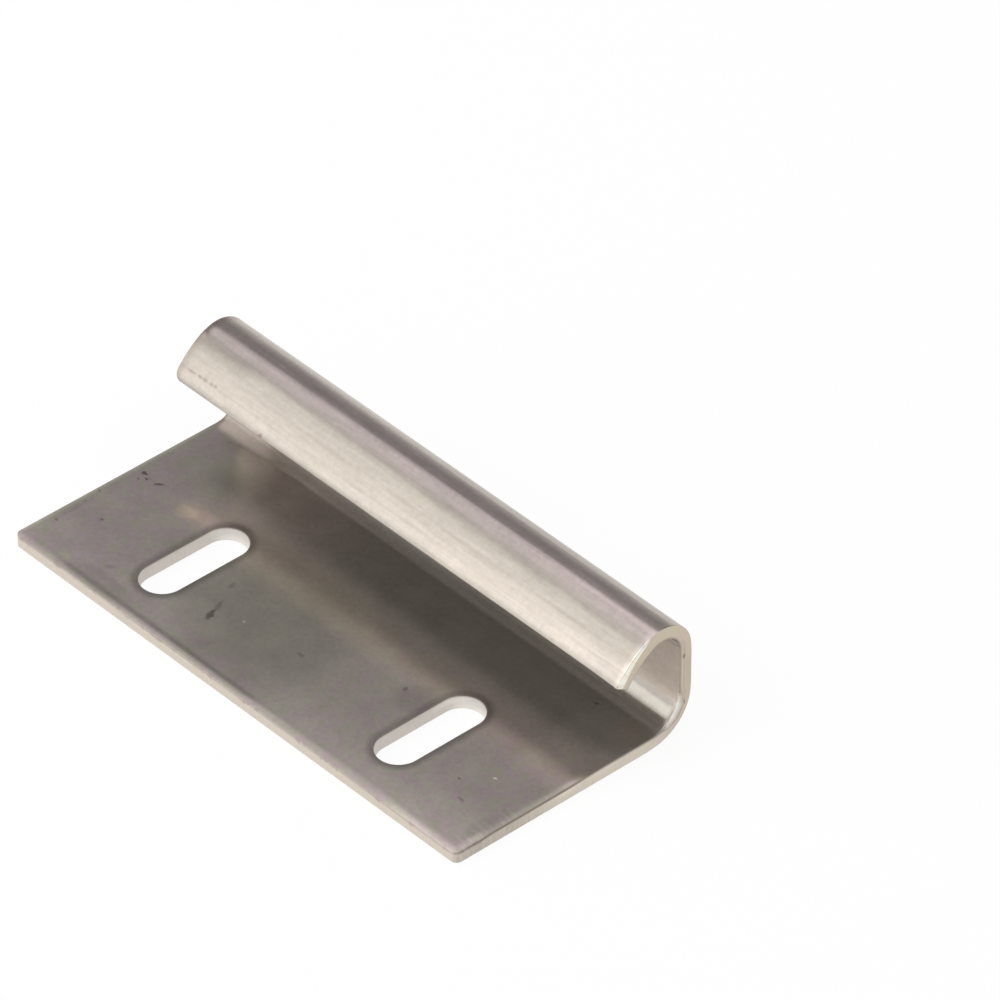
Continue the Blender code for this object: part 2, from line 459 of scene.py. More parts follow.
def outline_path(columns, rows, corners, half_length, total):
    """Counterclockwise path round the blank, whose corners have their own radii.

    Its straight stretches take the stations of the face, with a few more beside each corner.
    corners holds the radii from the free edge's right end onwards.
    """
    turn = np.linspace(0.0, math.pi / 2, 9)
    beside = np.linspace(0.0, 1.0, 4)[1:-1]
    x, s = [], []
    sides = (
        (columns, np.zeros_like(columns)),
        (np.full_like(rows, half_length), rows),
        (columns[::-1], np.full_like(columns, total)),
        (np.full_like(rows, -half_length), rows[::-1]),
    )
    ends = ((1, 0), (1, 1), (-1, 1), (-1, 0))
    for k, (side_x, side_s) in enumerate(sides):
        x.append(side_x)
        s.append(side_s)
        radius = corners[k]
        centre_x = ends[k][0] * (half_length - radius)
        centre_s = total - radius if ends[k][1] else radius
        angle = (k - 1) * math.pi / 2 + turn
        arc_x = centre_x + radius * np.cos(angle)
        arc_s = centre_s + radius * np.sin(angle)
        next_x, next_s = sides[(k + 1) % 4][0][0], sides[(k + 1) % 4][1][0]
        x += [side_x[-1] + (arc_x[0] - side_x[-1]) * beside, arc_x]
        s += [side_s[-1] + (arc_s[0] - side_s[-1]) * beside, arc_s]
        x.append(arc_x[-1] + (next_x - arc_x[-1]) * beside)
        s.append(arc_s[-1] + (next_s - arc_s[-1]) * beside)
    return np.concatenate(x), np.concatenate(s)


def slot_path(along_x, along_s, width, long):
    """Counterclockwise stadium round the origin, with its outward direction.

    Its points pair with a rectangle's: the quarter arcs at the ends face the short sides, and
    the rest faces the long sides. The path starts at the rectangle's lower left corner.
    """
    radius = width / 2
    reach = long / 2 - radius
    eighth = math.pi / 4
    long_run = 2 * reach + 2 * eighth * radius
    ticks = np.linspace(0.0, long_run, along_s + 1)[:-1]
    low_angle = -eighth + np.clip(ticks / radius, 0.0, eighth)
    high_angle = np.clip((ticks - (long_run - eighth * radius)) / radius, 0.0, eighth)
    angle = low_angle + high_angle
    centre = np.clip(ticks - eighth * radius, 0.0, 2 * reach) - reach
    right = (radius * np.cos(angle), centre + radius * np.sin(angle), np.cos(angle), np.sin(angle))
    cap = np.linspace(eighth, 3 * eighth, along_x + 1)[:-1]
    top = (radius * np.cos(cap), reach + radius * np.sin(cap), np.cos(cap), np.sin(cap))
    bottom = tuple(-part for part in top)
    left = tuple(-part for part in right)
    return tuple(np.concatenate(part) for part in zip(bottom, right, top, left))


def cell_path(columns, rows):
    """The rectangle round a slot, at the face's own stations, from its lower left corner."""
    low_x, high_x, low_s, high_s = columns[0], columns[-1], rows[0], rows[-1]
    x = [columns[:-1], np.full(len(rows) - 1, high_x), columns[:0:-1], np.full(len(rows) - 1, low_x)]
    s = [np.full(len(columns) - 1, low_s), rows[:-1], np.full(len(columns) - 1, high_s), rows[:0:-1]]
    return np.concatenate(x), np.concatenate(s)


def rise(value, low, high):
    """0 below low, 1 above high, with a smooth change between them."""
    share = np.clip((value - low) / (high - low), 0.0, 1.0)
    return share * share * (3 - 2 * share)


def outline_rolls(x, s, edges, fold, half_length):
    """Drop and power of the roll on the base's side, at points of the blank's outline."""
    at_right = rise(x, half_length - ROLL_BLEND, half_length)
    at_left = rise(-x, half_length - ROLL_BLEND, half_length)
    front_x, front_share, front_power = np.array(FRONT_ROLL).T
    right_s, right_share = np.array(RIGHT_ROLL).T
    front = edges.front_drop * np.interp(x, front_x * MM, front_share)
    middle = np.where(s > fold.total / 2, edges.tip_drop, front)
    right = edges.right_drop * np.interp(s, right_s * MM, right_share)
    drop = middle * (1 - at_right - at_left) + right * at_right + edges.left_drop * at_left
    power = np.interp(x, front_x * MM, front_power) + at_left
    return drop, power


def lay_out_blank(sizes, edges, fold):
    """The whole blank: two faces with a cell left out round each slot, the cells and the rims."""
    half_length = (SHEET_HIGH.x - SHEET_LOW.x) / 2
    half = sizes.sheet / 2
    margin = edges.reach + FLAT_STRIP
    inner_x = half_length - margin
    slot_x = sizes.slot_pitch / 2
    cell_x = sizes.slot_width / 2 + CELL_ROOM_X
    cell_s = sizes.slot_length / 2 + CELL_ROOM_S
    x_marks = [-inner_x, -slot_x - cell_x, -slot_x + cell_x, slot_x - cell_x, slot_x + cell_x, inner_x]
    counts = (END_COLUMNS, SLOT_COLUMNS, MIDDLE_COLUMNS, SLOT_COLUMNS, END_COLUMNS)
    columns = stations(x_marks, counts)
    low_s, high_s = sizes.slot_setback - cell_s, sizes.slot_setback + cell_s
    s_marks = [margin, low_s, high_s, *fold.marks[1:5], fold.total - margin]
    rows = stations(s_marks, (FRONT_ROWS, SLOT_ROWS, *HOOK_ROWS))
    first_cells = (END_COLUMNS, END_COLUMNS + SLOT_COLUMNS + MIDDLE_COLUMNS)
    behind_slot = FRONT_ROWS + SLOT_ROWS
    keep = np.ones((len(columns) - 1, len(rows) - 1), bool)
    for first in first_cells:
        keep[first : first + SLOT_COLUMNS, FRONT_ROWS:behind_slot] = False

    blank = Blank()
    sides = ((half, -margin), (-half, sizes.sheet + margin))
    for w, run in sides:
        blank.add(columns[:, None], rows[None, :], w, run, keep=keep, flip=w < 0)

    corners = (sizes.corner, sizes.sharp_corner, sizes.lip_corner, sizes.corner)
    x, s = outline_path(columns, rows, corners, half_length, fold.total)
    section = CutSection(sizes.sheet, margin, edges.reach, edges.fillet, edges)
    inwards = section.inset[None, :] / margin
    near_x, near_s = np.clip(x, -inner_x, inner_x), np.clip(s, margin, fold.total - margin)
    drop, power = outline_rolls(x, s, edges, fold, half_length)
    lip = rise(s, fold.marks[3] + 5.0 * MM, fold.marks[4] + 2.0 * MM)
    lip_end = lip * rise(np.abs(x), inner_x, half_length) * rise(-s, -fold.total, -fold.total + margin)
    bevel_s, bevel_share = np.array(BEVEL).T
    at_right = rise(x, half_length - 0.3 * MM, half_length - 0.02 * MM)
    bevel = edges.bevel * at_right * np.interp(s, bevel_s * MM, bevel_share)
    shoulder_s, shoulder_share = np.array(SHOULDER).T
    shoulder = edges.shoulder * at_right * np.interp(s, shoulder_s * MM, shoulder_share)
    lip_drop = edges.lip_drop * lip_end * (x < 0)
    blank.add(
        x[:, None] + (near_x - x)[:, None] * inwards,
        s[:, None] + (near_s - s)[:, None] * inwards,
        section.heights(drop, power, lip_drop, bevel, shoulder),
        section.run[None, :],
        closed=True,
        flip=True,
    )

    x, s, nx, ns = slot_path(SLOT_COLUMNS, SLOT_ROWS, sizes.slot_width, sizes.slot_length)
    section = CutSection(sizes.sheet, margin, edges.rim_reach, edges.rim_fillet, edges, edges.taper)
    rim_drop = np.full(x.shape, edges.rim_drop)
    none = np.zeros(x.shape)
    heights = section.heights(rim_drop, none + RIM_ROLL_POWER, none, none, none)
    rings = np.linspace(0.0, 1.0, 5)
    for first in first_cells:
        last = first + SLOT_COLUMNS
        cx = (columns[first] + columns[last]) / 2
        blank.add(
            cx + x[:, None] + nx[:, None] * section.inset,
            sizes.slot_setback + s[:, None] + ns[:, None] * section.inset,
            heights,
            section.run[None, :],
            closed=True,
        )
        outer_x, outer_s = cell_path(columns[first : last + 1], rows[FRONT_ROWS : behind_slot + 1])
        inner_ring_x = (cx + x + nx * margin)[:, None]
        inner_ring_s = (sizes.slot_setback + s + ns * margin)[:, None]
        ring_x = inner_ring_x * (1 - rings) + outer_x[:, None] * rings
        ring_s = inner_ring_s * (1 - rings) + outer_s[:, None] * rings
        for w, run in sides:
            blank.add(ring_x, ring_s, w, run, closed=True, flip=w > 0)
    return blank.gathered()


def point_attribute(mesh, name, values):
    """A number on each point of the mesh, for the material to read."""
    attribute = mesh.attributes.new(name, "FLOAT", "POINT")
    attribute.data.foreach_set("value", np.ascontiguousarray(values, dtype=np.float32))


def slot_gap(x, s, sizes):
    """Distance on the blank from the nearer slot's outline, positive on the sheet."""
    reach = (sizes.slot_length - sizes.slot_width) / 2
    across = np.abs(x) - sizes.slot_pitch / 2
    along = np.clip(np.abs(s - sizes.slot_setback) - reach, 0.0, None)
    return np.hypot(across, along) - sizes.slot_width / 2


def fold_bracket(sizes, edges):
    """The finished mesh of the bracket, folded from its blank and fitted to its box."""
    fold = Fold(sizes)
    points, faces = lay_out_blank(sizes, edges, fold)
    x, s, w, run = points.T
    half_length = (SHEET_HIGH.x - SHEET_LOW.x) / 2
    grown = np.clip((x - GROWTH_X * MM) / (half_length - GROWTH_X * MM), 0.0, 1.0) ** 2
    s = s + edges.growth * grown * rise(s, fold.total - GROWTH_REACH * MM, fold.total)
    places = fold.place(x, s, w, edges.neck, half_length, sizes.sheet)
    places = fold.notched(places, s, edges.notch, half_length, sizes.sheet)
    low, high = np.array(SHEET_LOW), np.array(SHEET_HIGH)
    fit = np.minimum(1.0, (high - low) / (places.max(axis=0) - low))
    places = low + (places - low) * fit
    mesh = bpy.data.meshes.new("bracket_sheet")
    mesh.from_pydata(places, [], faces)
    point_attribute(mesh, "developed", s)
    point_attribute(mesh, "height", w)
    point_attribute(mesh, "run", run)
    point_attribute(mesh, "slot_gap", slot_gap(x, s, sizes))
    shape = bmesh.new()
    shape.from_mesh(mesh)
    bmesh.ops.remove_doubles(shape, verts=shape.verts, dist=MERGE)
    shape.to_mesh(mesh)
    shape.free()
    mesh.shade_smooth()
    return mesh


class Wire:
    """A socket in a node tree. Arithmetic on it adds Math nodes."""

    def __init__(self, tree, socket):
        self.tree = tree
        self.socket = socket

    def worked_out(self, kind, setting, choice, values):
        """The output of a node with one setting and the values of its first inputs."""
        node = self.tree.nodes.new(kind)
        setattr(node, setting, choice)
        for socket, value in zip(node.inputs, values):
            plug(self.tree, socket, value)
        return Wire(self.tree, node.outputs[0])

    def maths(self, operation, *values):
        """One Math node on this socket and the values."""
        return self.worked_out("ShaderNodeMath", "operation", operation, (self, *values))

    def reversed_maths(self, operation, value):
        """One Math node with the value first and this socket second."""
        return self.worked_out("ShaderNodeMath", "operation", operation, (value, self))

    def __add__(self, other):
        return self.maths("ADD", other)

    __radd__ = __add__

    def __mul__(self, other):
        return self.maths("MULTIPLY", other)

    __rmul__ = __mul__

    def __sub__(self, other):
        return self.maths("SUBTRACT", other)

    def __rsub__(self, other):
        return self.reversed_maths("SUBTRACT", other)

    def __truediv__(self, other):
        return self.maths("DIVIDE", other)

    def __rtruediv__(self, other):
        return self.reversed_maths("DIVIDE", other)

    def __abs__(self):
        return self.maths("ABSOLUTE")

    def clamped(self):
        """Held between 0 and 1."""
        return self.maths("MAXIMUM", 0.0).maths("MINIMUM", 1.0)

    def near(self, centre, width):
        """1 at the centre, falling smoothly to 0 at the width away from it."""
        return abs(self - centre).smooth(width, 0.0)

    def smooth(self, low, high):
        """0 below low, 1 above high, with a smooth change between them. low may be above high."""
        kind, values = "ShaderNodeMapRange", (self, low, high)
        return self.worked_out(kind, "interpolation_type", "SMOOTHSTEP", values)


def plug(tree, socket, value):
    """Links a wire or an output to a socket, or sets the socket's value."""
    if isinstance(value, Wire):
        tree.links.new(value.socket, socket)
    elif isinstance(value, bpy.types.NodeSocket):
        tree.links.new(value, socket)
    else:
        socket.default_value = value


class Nodes:
    """Makes nodes in one tree."""

    def __init__(self, tree):
        self.tree = tree
        tree.nodes.clear()

    def make(self, kind, settings=None, **values):
        """A node of a kind: its settings first, then the values or links of its inputs.

        An input is named by its label with underscores, or by its place as in_0. A colour
        ramp's stops are given as the setting stops.
        """
        node = self.tree.nodes.new(kind)
        for name, setting in (settings or {}).items():
            if name == "stops":
                set_stops(node.color_ramp, setting)
            else:
                setattr(node, name, setting)
        for name, value in values.items():
            if name.startswith("in_"):
                socket = node.inputs[int(name[3:])]
            else:
                socket = node.inputs[name.replace("_", " ")]
            plug(self.tree, socket, value)
        return node

    def wire(self, node, output=0):
        """An output of a node as a wire."""
        return Wire(self.tree, node.outputs[output])

    def noise(self, vector, scale, detail=2.0, roughness=0.5):
        """Noise at a scale per metre, between about 0 and 1."""
        node = self.make(
            "ShaderNodeTexNoise", Vector=vector, Scale=scale, Detail=detail, Roughness=roughness
        )
        return self.wire(node)

    def mix(self, factor, low, high):
        """A colour between two colours."""
        node = self.make("ShaderNodeMix", {"data_type": "RGBA"}, in_0=factor, in_6=low, in_7=high)
        return node.outputs[2]

    def scaled(self, colour, level):
        """A colour times a level."""
        node = self.make("ShaderNodeVectorMath", {"operation": "SCALE"}, in_0=colour, Scale=level)
        return node.outputs[0]

    def vector(self, x, y, z):
        """A vector from three values."""
        return self.make("ShaderNodeCombineXYZ", X=x, Y=y, Z=z).outputs[0]

    def number(self, name):
        """A number stored on the mesh's points."""
        node = self.make("ShaderNodeAttribute", {"attribute_name": name})
        return self.wire(node, 2)


def set_stops(ramp, stops):
    """Gives a colour ramp its stops, each a position and a grey level."""
    elements = ramp.elements
    while len(elements) > 1:
        elements.remove(elements[-1])
    elements[0].position = stops[0][0]
    elements[0].color = (stops[0][1],) * 3 + (1.0,)
    for position, level in stops[1:]:
        element = elements.new(position)
        element.color = (level,) * 3 + (1.0,)


def rgba(values):
    """A colour with full alpha."""
    return (*values, 1.0)


def mark(x, s, long, wide, turn, depth, at_x, at_s):
    """A soft oval mark on the blank, as deep as its depth at the middle and 0 outside."""
    cos, sin = math.cos(math.radians(turn)), math.sin(math.radians(turn))
    along = ((x - at_x) * cos + (s - at_s) * sin) * (2 / long)
    across = ((s - at_s) * cos - (x - at_x) * sin) * (2 / wide)
    return (along * along + across * across).smooth(1.4, 0.3) * depth


def marks_level(x, s, marks):
    """Sum of the depths of several marks, each given as x, s, length, width, turn and depth."""
    total = 0.0
    for at_x, at_s, long, wide, turn, depth in marks:
        total = mark(x, s, long, wide, turn, depth, at_x, at_s) + total
    return total


class SheetPlaces:
    """Where a point lies on the sheet, as wires, with the noises and masks made from that.

    In millimetres, x runs along the length, s along the section from the free edge, w off the
    middle line, run over a cut from its top edge to its foot, and gap away from the nearer
    slot. A mask is 1 on what it names and 0 elsewhere.
    """

    def __init__(self, nodes):
        self.nodes = nodes
        place = nodes.make("ShaderNodeTexCoord").outputs["Object"]
        along_x = nodes.wire(nodes.make("ShaderNodeSeparateXYZ", Vector=place))
        self.metres = (along_x, nodes.number("developed"), nodes.number("height"))
        self.x, self.s, self.w = (part * PER_METRE for part in self.metres)
        self.run, self.gap = (nodes.number(name) * PER_METRE for name in ("run", "slot_gap"))

        self.cloud = self.noise(260.0, 4.0, 0.6)
        self.grain = self.noise(1500.0, 3.0, 0.7)
        self.fleck = self.noise(640.0, 3.0, 0.6)
        self.drawn = self.noise(3200.0, 3.0, 0.7, (0.03, 1.0, 1.0))

        self.cut = self.run.smooth(-0.05, 0.06) * self.run.smooth(2.05, 1.94)
        self.face = 1.0 - self.cut
        self.inside = self.w.smooth(-0.3, 0.3)
        self.outside = (1.0 - self.inside) * self.s.smooth(44.0, 50.0)
        self.plate = self.inside * self.s.smooth(37.0, 31.0)
        self.right = self.x.smooth(43.0, 43.9)
        self.punched = self.gap.smooth(2.0, 1.5) * self.cut
        self.far_end = self.s.smooth(19.4, 22.0)
        # Painted light towards the free edge; the same mask also adds haze and roughness
        self.pale = self.front_light_and_haze()
        # Painted highlight: the shoulder strip where the glint colour goes and the haze is cut
        self.shoulder = self.inside * self.face * self.x.smooth(43.6, 43.72)
        self.shoulder = self.shoulder * self.s.smooth(36.4, 37.4) * self.s.smooth(43.4, 42.4)
        # Painted highlight: the strip at the inner right end of the base bend, also rougher and hazier
        self.end_glint = self.inside * self.face * self.x.smooth(43.1, 43.9) * (1.0 - self.shoulder)
        self.end_glint = self.end_glint * self.s.smooth(36.6, 38.0) * self.s.smooth(42.5, 40.0)
        # Mask of the lip's right bevel, where the painted highlight goes
        self.bevel = self.outside * self.face * self.x.smooth(43.55, 43.7) * self.s.smooth(58.6, 59.6)

    def noise(self, scale, detail, roughness=0.5, stretch=(1.0, 1.0, 1.0)):
        """Noise over the blank, drawn out along the axes whose stretch is below 1."""
        parts = [part if share == 1.0 else part * share for part, share in zip(self.metres, stretch)]
        return self.nodes.noise(self.nodes.vector(*parts), scale, detail, roughness)

    def front_light_and_haze(self):
        """Painted light: a paler base towards the free edge and away from the middle."""
        away = (abs(self.x + 10.0) / 45.0).clamped()
        edge = (1.0 - self.s / 12.0).clamped()
        front = edge * edge * (0.2 + 0.8 * away) + 0.38 * away * (1.0 - self.s / 34.0).clamped()
        return front * self.plate * self.face


def base_tint(at, finish):
    """Mottled lilac and olive on the base, and under the hook a neutral steel tint that paints the colour
    of the hook's shade.
    """
    x, s = at.x, at.s
    lilac = (x.smooth(-22.0, -37.0) * s.smooth(24.0, 12.0) + x.smooth(26.0, 40.0) * 0.6).clamped() * 0.6
    lilac = at.noise(70.0, 3.0).smooth(0.46, 0.60) * 0.5 + lilac + at.fleck.smooth(0.50, 0.60) * 0.9
    olive = x.near(-8.0, 26.0) * s.smooth(3.0, 7.0) + x.near(-34.0, 9.0) * s.near(29.0, 8.0)
    olive = at.cloud.smooth(0.50, 0.66) * 0.5 + olive * 0.8 + at.fleck.smooth(0.50, 0.40) * 0.9
    left_rim = x.smooth(-42.3, -43.4) * s.smooth(1.0, 3.0)
    warm_patch = mark(x, s, 6.0, 3.2, 16.0, 0.5, -31.3, 20.3)
    warm_bend = at.inside * s.near(36.1, 2.6) * x.smooth(-28.0, -36.0) * 0.5
    mix = at.nodes.mix
    tint = mix(lilac.clamped(), rgba(finish.plate), rgba(finish.lilac))
    tint = mix((olive.clamped() + left_rim).clamped(), tint, rgba(finish.olive))
    tint = mix(warm_patch, tint, rgba(finish.tan))
    # Painted shade colour: neutral steel under the hook
    tint = mix(s.smooth(21.0, 29.0) * x.smooth(-34.0, -24.0), tint, rgba(finish.steel))
    return mix(warm_bend, tint, rgba(finish.tan))


def hook_tint(at, finish, tint):
    """The inner side of bend and wall as far as the mouth shows it, painted with shade on the bend, a
    highlight at the wall's foot and light on the wall; and the hook's outside.
    """
    s, mix = at.s, at.nodes.mix
    # Painted shade and light inside the hook, only where the mouth shows it
    seen = at.inside * at.x.smooth(30.0, 38.0)
    tint = mix(seen * s.smooth(36.5, 38.5) * s.smooth(52.0, 48.0), tint, rgba(finish.mouth))
    tint = mix(seen * s.smooth(39.8, 41.8) * s.smooth(52.0, 48.0), tint, rgba(finish.hollow_highlight))
    tint = mix(seen * s.smooth(41.1, 41.8) * s.smooth(54.0, 50.0), tint, rgba(finish.wall))
    return mix(at.outside, tint, mix(s.near(57.5, 3.2) * 0.8, rgba(finish.cream), rgba(finish.lilac)))


def edge_tint(at, finish, tint):
    """Sheared and punched cuts, with painted highlights at the slots' ends, on the base bend's right end
    and its shoulder, and on the lip's right bevel.
    """
    s, mix = at.s, at.nodes.mix
    sheared = mix(at.right * s.smooth(35.0, 41.0) * 0.9, rgba(finish.cut), rgba(finish.end))
    end_blush = s.near(52.5, 3.0) * 0.5 + s.near(47.0, 5.0) * at.run.near(0.2, 0.5) * 0.4
    blush = (at.punched * 0.18 + at.right * at.cut * end_blush * 0.6).clamped()
    # Painted highlight: more of the whitish tint at the slots' far and near ends
    pale_wall_and_end_highlight = at.punched * (0.62 + s.smooth(18.6, 21.0) * 0.20 + s.smooth(8.0, 6.4) * 0.15)
    tint = mix(at.cut, tint, sheared)
    tint = mix(blush, tint, rgba(finish.blush))
    tint = mix(pale_wall_and_end_highlight, tint, rgba(finish.cap))
    # Painted highlights: the glint on the bend's right end and shoulder, and the bright bevel of the lip's
    # right end
    tint = mix(at.end_glint * 0.7, tint, rgba(finish.glint))
    tint = mix(at.bevel, tint, rgba(finish.bright))
    return mix(at.shoulder * 0.85, tint, rgba(finish.glint))


def base_level(at):
    """How light the base is: painted dark reflections on its rolled rims and round the slots, painted
    light towards the free edge, spots and scratches.
    """
    x, s, gap = at.x, at.s, at.gap
    top = at.inside * at.face
    # Painted dark reflection round the slots' rolled rims
    rim_dark_reflection = gap.smooth(1.6, 0.1) * top * (0.40 + 0.14 * at.far_end) * (1.0 - 0.25 * gap.smooth(0.4, 0.05))
    # Painted dark reflection on the rolls along the free edge and the right edge
    front_dark_reflection = s.near(0.95, 0.75) * x.smooth(-38.0, -34.0) * x.smooth(6.0, 0.0) * at.inside
    rolled = s.smooth(1.9, 0.9) * (1.0 - 0.8 * x.smooth(28.0, 34.0) * s.smooth(0.9, 0.5)) * top
    right_dark_reflection = x.smooth(42.7, 43.4) * s.smooth(4.0, 6.0) * s.smooth(21.0, 18.0) * top
    left_side = x.smooth(-43.1, -43.6) * 0.28 - x.near(-42.6, 0.5) * s.near(9.5, 5.0) * 0.12
    band = s.near(19.4, 3.4) * x.smooth(-24.0, -16.0) * at.plate
    ragged_x, ragged_s = x + (at.grain - 0.5) * 1.1, s + (at.cloud - 0.5) * 1.1
    dark = marks_level(ragged_x, ragged_s, DARK_MARKS) * at.plate * at.face
    light = marks_level(ragged_x, ragged_s, PALE_MARKS) * at.plate + 0.13 * band
    # Painted light towards the free edge, and painted dark reflections on the rims
    level = (1.0 + 0.18 * at.pale) * (1.0 - rim_dark_reflection) * (1.0 - 0.20 * front_dark_reflection) * (1.0 - 0.13 * rolled)
    level = level * (1.0 - 0.20 * right_dark_reflection) * (1.0 + left_side * at.plate * at.face)
    return level * (1.0 - dark) * (1.0 + light) * (1.0 + (at.cloud - 0.5) * 0.24 * at.plate)


def bend_shade(at):
    """How much darker the sheet is towards and round the base bend."""
    x, s = at.x, at.s
    under_hook = s.smooth(24.0, 27.5) * x.smooth(-37.0, -30.0) * (0.20 - 0.17 * s.smooth(27.0, 31.0))
    under_hook = under_hook * (1.0 - 0.9 * x.smooth(37.0, 43.0))
    left_side = x.near(-31.0, 8.0) * s.smooth(26.0, 30.0) * 0.26
    left_foot = x.near(-36.5, 6.5) * (s.near(34.2, 2.4) * 0.24 + s.near(36.3, 1.5) * 0.13)
    return (under_hook + left_side + left_foot) * s.smooth(41.0, 36.5) * at.inside * at.face


def hook_level(at):
    """How light the outside of the hook is: painted reflection bands, drawn lines, a painted highlight on
    the rim at the lip's right end and painted shade on the tip's roll.
    """
    x, s = at.x, at.s
    outer = at.outside * at.face
    bands = 0.0
    for along, half_width, low_x, high_x, share in HOOK_REFLECTION_BANDS:
        bands = s.near(along, half_width) * x.smooth(low_x, high_x) * share + bands
    streaks = at.noise(1100.0, 2.0, 0.6, (0.12, 1.0, 1.0))
    scored = at.noise(2600.0, 2.0, 0.6, (0.1, 1.0, 1.0))
    lines = ((at.drawn - 0.5) * 0.26 + (streaks - 0.5) * 0.26) * outer
    scored_corner = x.smooth(40.5, 42.2) * s.smooth(14.0, 9.0) * at.plate * at.face
    lines = lines + (scored - 0.5) * 0.5 * scored_corner
    # Painted highlight on the rim at the lip's right end
    rim = x.smooth(42.7, 43.5) * s.smooth(56.5, 59.0) * outer
    # Painted shade on the roll along the lip's tip
    tip_shade = s.smooth(65.0, 65.7) * outer
    return (1.0 + bands * outer) * (1.0 + lines) * (1.0 + 0.22 * rim - 0.18 * tip_shade)


def cut_level(at):
    """How light the cuts are: the slots' walls with painted light on their far ends, the right end and its
    sheared lines.
    """
    s, run, end = at.s, at.run, at.right * at.cut
    sheared = at.noise(2600.0, 2.0, 0.7, (1.0, 1.0, 0.12))
    corner = at.right * s.smooth(20.0, 9.0)
    foot = s.smooth(36.0, 33.0) * 0.05
    wall = s.near(46.5, 6.0) * (run.near(0.15, 0.35) * 0.14 - run.smooth(0.8, 1.1) * 0.07)
    # Painted light: the slots' far walls are lighter
    level = 1.0 - at.punched * (0.04 - at.far_end * (0.10 + 0.18 * run.smooth(0.6, 1.9)))
    other_sides = (1.0 - at.right) * (at.cut - at.punched) * 0.06
    level = level * (1.0 + other_sides + end * foot - corner * at.cut * 0.21) * (1.0 + end * wall)
    return level * (1.0 + (sheared - 0.5) * at.cut * (0.12 + 0.35 * corner))


def stain_share(at):
    """Brown lines along the edges, a painted shadow under the lip, the marks on the lip and the dents on
    the right end.
    """
    x, s, run, right = at.x, at.s, at.run, at.right
    top_line = run.near(0.02, 0.30) * (0.35 + 0.8 * at.cloud * (1.0 - right) + 0.85 * right) * 0.42
    seam = run.near(0.58, 0.36) * right * s.smooth(41.0, 43.0) * s.smooth(54.0, 50.5) * 0.3
    foot_line = run.near(1.95, 0.3) * right * s.near(39.5, 4.0) * 0.5
    right_line = run.near(-0.05, 0.38) * right * s.smooth(1.5, 4.0) * s.smooth(26.0, 21.0) * 0.32
    specks = at.fleck.smooth(0.54, 0.64) * run.near(0.2, 0.6) * (1.0 - right) * (1.0 - at.punched)
    left_line = x.smooth(-42.3, -43.6) * at.outside * at.face * 0.38
    # Painted shadow: dark line on the bend under the lip's edge
    lip_shadow_line = at.inside * s.near(37.9, 1.1) * x.smooth(-27.0, -32.0) * 0.55
    stain = marks_level(x, s, LIP_MARKS) * at.outside + marks_level(s, run, END_MARKS) * right
    stain = stain + specks * s.smooth(4.0, 2.0) * 0.30 + left_line + lip_shadow_line
    return (stain + right_line + top_line + seam + foot_line).clamped()


def stainless_material(finish):
    """Mill-finished stainless sheet: mottled faces, drawn bends and sheared edges.

    Two glosses of the same metal, one sharp and one wide, are mixed by the haze.
    """
    material = bpy.data.materials.new("stainless_sheet")
    material.use_nodes = True
    nodes = Nodes(material.node_tree)
    at = SheetPlaces(nodes)
    tint = edge_tint(at, finish, hook_tint(at, finish, base_tint(at, finish)))
    level = base_level(at) * (1.0 - bend_shade(at)) * hook_level(at) * cut_level(at)
    level = level * (1.0 + (at.grain - 0.5) * 0.33 * at.face)
    tint = nodes.mix(stain_share(at), nodes.scaled(tint, level), rgba(finish.brown))

    crest = at.outside * at.s.near(57.0, 4.0)
    mouth = at.inside * at.s.near(38.0, 2.6) * at.x.smooth(0.0, 10.0) * (1.0 - at.end_glint)
    rough = finish.roughness + (at.cloud - 0.5) * 0.10
    rough = rough + at.pale * 0.05 - crest * 0.06 - mouth * 0.06 + at.end_glint * 0.3
    rough = rough * at.face + finish.cut_roughness * at.cut
    haze = finish.haze + 0.5 * at.pale - 0.14 * crest - 0.15 * mouth + 0.5 * at.end_glint
    haze = (haze * (1.0 - 0.8 * (at.bevel + at.shoulder))).clamped()

    bump_height = (at.drawn - 0.5) * 0.004
    bump = nodes.make("ShaderNodeBump", Strength=0.6, Distance=0.4 * MM, Height=bump_height)
    metal = {"Base_Color": tint, "Metallic": 1.0, "Normal": bump.outputs[0]}
    sharp = nodes.make("ShaderNodeBsdfPrincipled", Roughness=rough, **metal)
    wide = nodes.make("ShaderNodeBsdfPrincipled", Roughness=finish.haze_roughness, **metal)
    shader = nodes.make("ShaderNodeMixShader", in_0=haze, in_1=sharp.outputs[0], in_2=wide.outputs[0])
    nodes.make("ShaderNodeOutputMaterial", Surface=shader.outputs[0])
    return material


class HOOKBRACKET_OT_fold_sheet(bpy.types.Operator):
    """Fold the punched stainless sheet in place of the plain solid"""

    bl_idname = "hook_bracket.fold_sheet"
    bl_label = "Fold Sheet"

    def execute(self, context):
        scene = context.scene
        mesh = fold_bracket(scene.bracket_sizes, scene.bracket_edges)
        mesh.materials.append(stainless_material(scene.bracket_finish))
        bracket = bpy.data.objects.new("bracket_sheet", mesh)
        scene.collection.objects.link(bracket)
        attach(bracket, "root")
        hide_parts(NODE)
        return {"FINISHED"}


